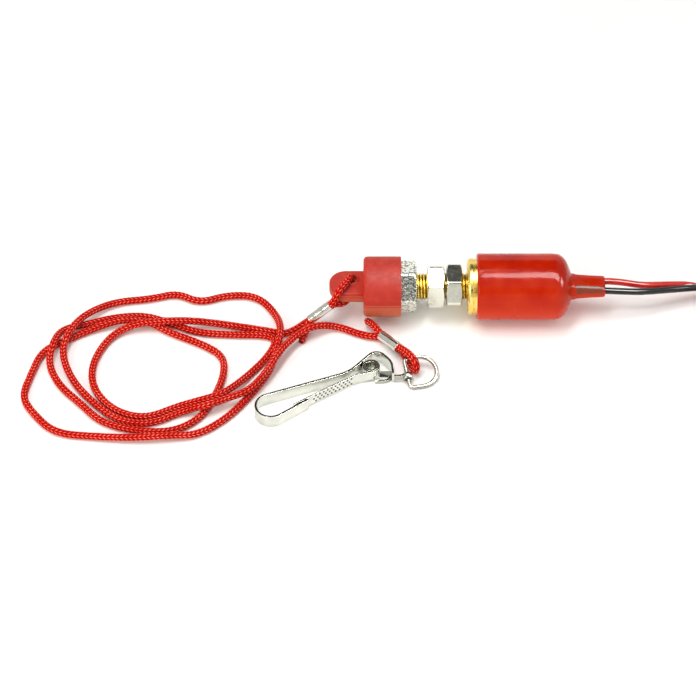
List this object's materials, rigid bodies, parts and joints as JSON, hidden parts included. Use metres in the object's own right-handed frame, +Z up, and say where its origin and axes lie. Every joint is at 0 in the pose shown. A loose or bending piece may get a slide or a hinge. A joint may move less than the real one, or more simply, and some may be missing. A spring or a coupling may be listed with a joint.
{
  "type": "engine kill switch with lanyard",
  "caption": "Panel switch with a threaded bushing and hex nuts, a vinyl-dipped body with two leads, and a pull cap held on by a braided cord with a snap hook",
  "frame": {"origin": "on the bushing's axis at the front face of the can, where a panel sits", "axes": "+X runs back along the switch to the leads, +Z is up from the table that it lies on, the lanyard is at -X and -Y"},
  "size_m": [0.2699, 0.0755, 0.023],
  "materials": {
    "cap_rubber": "matte",
    "vinyl": "gloss",
    "plated_steel": "plated",
    "nickel": "plated",
    "brass": "satin",
    "spring_steel": "satin",
    "fibre": "matte",
    "moulding": "matte",
    "red_insulation": "gloss",
    "black_insulation": "gloss",
    "braid": "woven"
  },
  "bodies": {
    "switch": {"threaded_bushing": "brass", "switch_can": "brass", "vinyl_boot": "vinyl", "hex_collar": "plated_steel", "front_insulator": "fibre", "terminal_base": "moulding", "red_terminal": "brass", "black_terminal": "brass", "return_spring": "spring_steel", "red_lead": "red_insulation", "black_lead": "black_insulation", "red_lead_coil": "red_insulation", "black_lead_coil": "black_insulation", "red_bullet": "nickel", "black_bullet": "nickel"},
    "front_nut": {"front_nut": "plated_steel"},
    "rear_nut": {"rear_nut": "plated_steel"},
    "plunger": {"plunger": "moulding", "contact_disc": "brass", "plunger_washer": "fibre"},
    "cap": {"pull_cap": "cap_rubber", "lanyard_cord": "braid", "cap_ferrule": "nickel", "hook_ferrule": "nickel"},
    "ring": {"ring": "nickel"},
    "hook": {"hook_body": "nickel"},
    "gate": {"hook_gate": "nickel"}
  },
  "joints": [
    {"name": "cap_pull", "type": "slide", "parent": "switch", "child": "cap", "axis": [-1, 0, 0], "range_m": [0, 0.03]},
    {"name": "plunger_slide", "type": "slide", "parent": "switch", "child": "plunger", "axis": [-1, 0, 0], "range_m": [0, 0.0035], "deforming": ["return_spring"]},
    {"name": "front_nut_turn", "type": "hinge", "parent": "switch", "child": "front_nut", "pos_m": [-0.01095, 0, 0], "axis": [-1, 0, 0], "continuous": true},
    {"name": "rear_nut_turn", "type": "hinge", "parent": "switch", "child": "rear_nut", "pos_m": [-0.00455, 0, 0], "axis": [-1, 0, 0], "continuous": true},
    {"name": "ring_tip", "type": "hinge", "parent": "cap", "child": "ring", "pos_m": [-0.01946, -0.0272, -0.0076], "axis": [-0.9781, -0.2079, 0], "range_deg": [0, 40]},
    {"name": "hook_swing", "type": "hinge", "parent": "ring", "child": "hook", "pos_m": [-0.02094, -0.03418, -0.00952], "axis": [-0.1995, 0.9384, 0.2823], "range_deg": [0, 45]},
    {"name": "gate_spring", "type": "hinge", "parent": "hook", "child": "gate", "pos_m": [-0.0335, -0.0316, -0.0087], "axis": [0, 0, -1], "range_deg": [0, 10], "stiffness_Nm_per_rad": 0.02}
  ],
  "couplings": [
    {"joint": "plunger_slide", "follows": "cap_pull", "ratio": 0.11667}
  ]
}
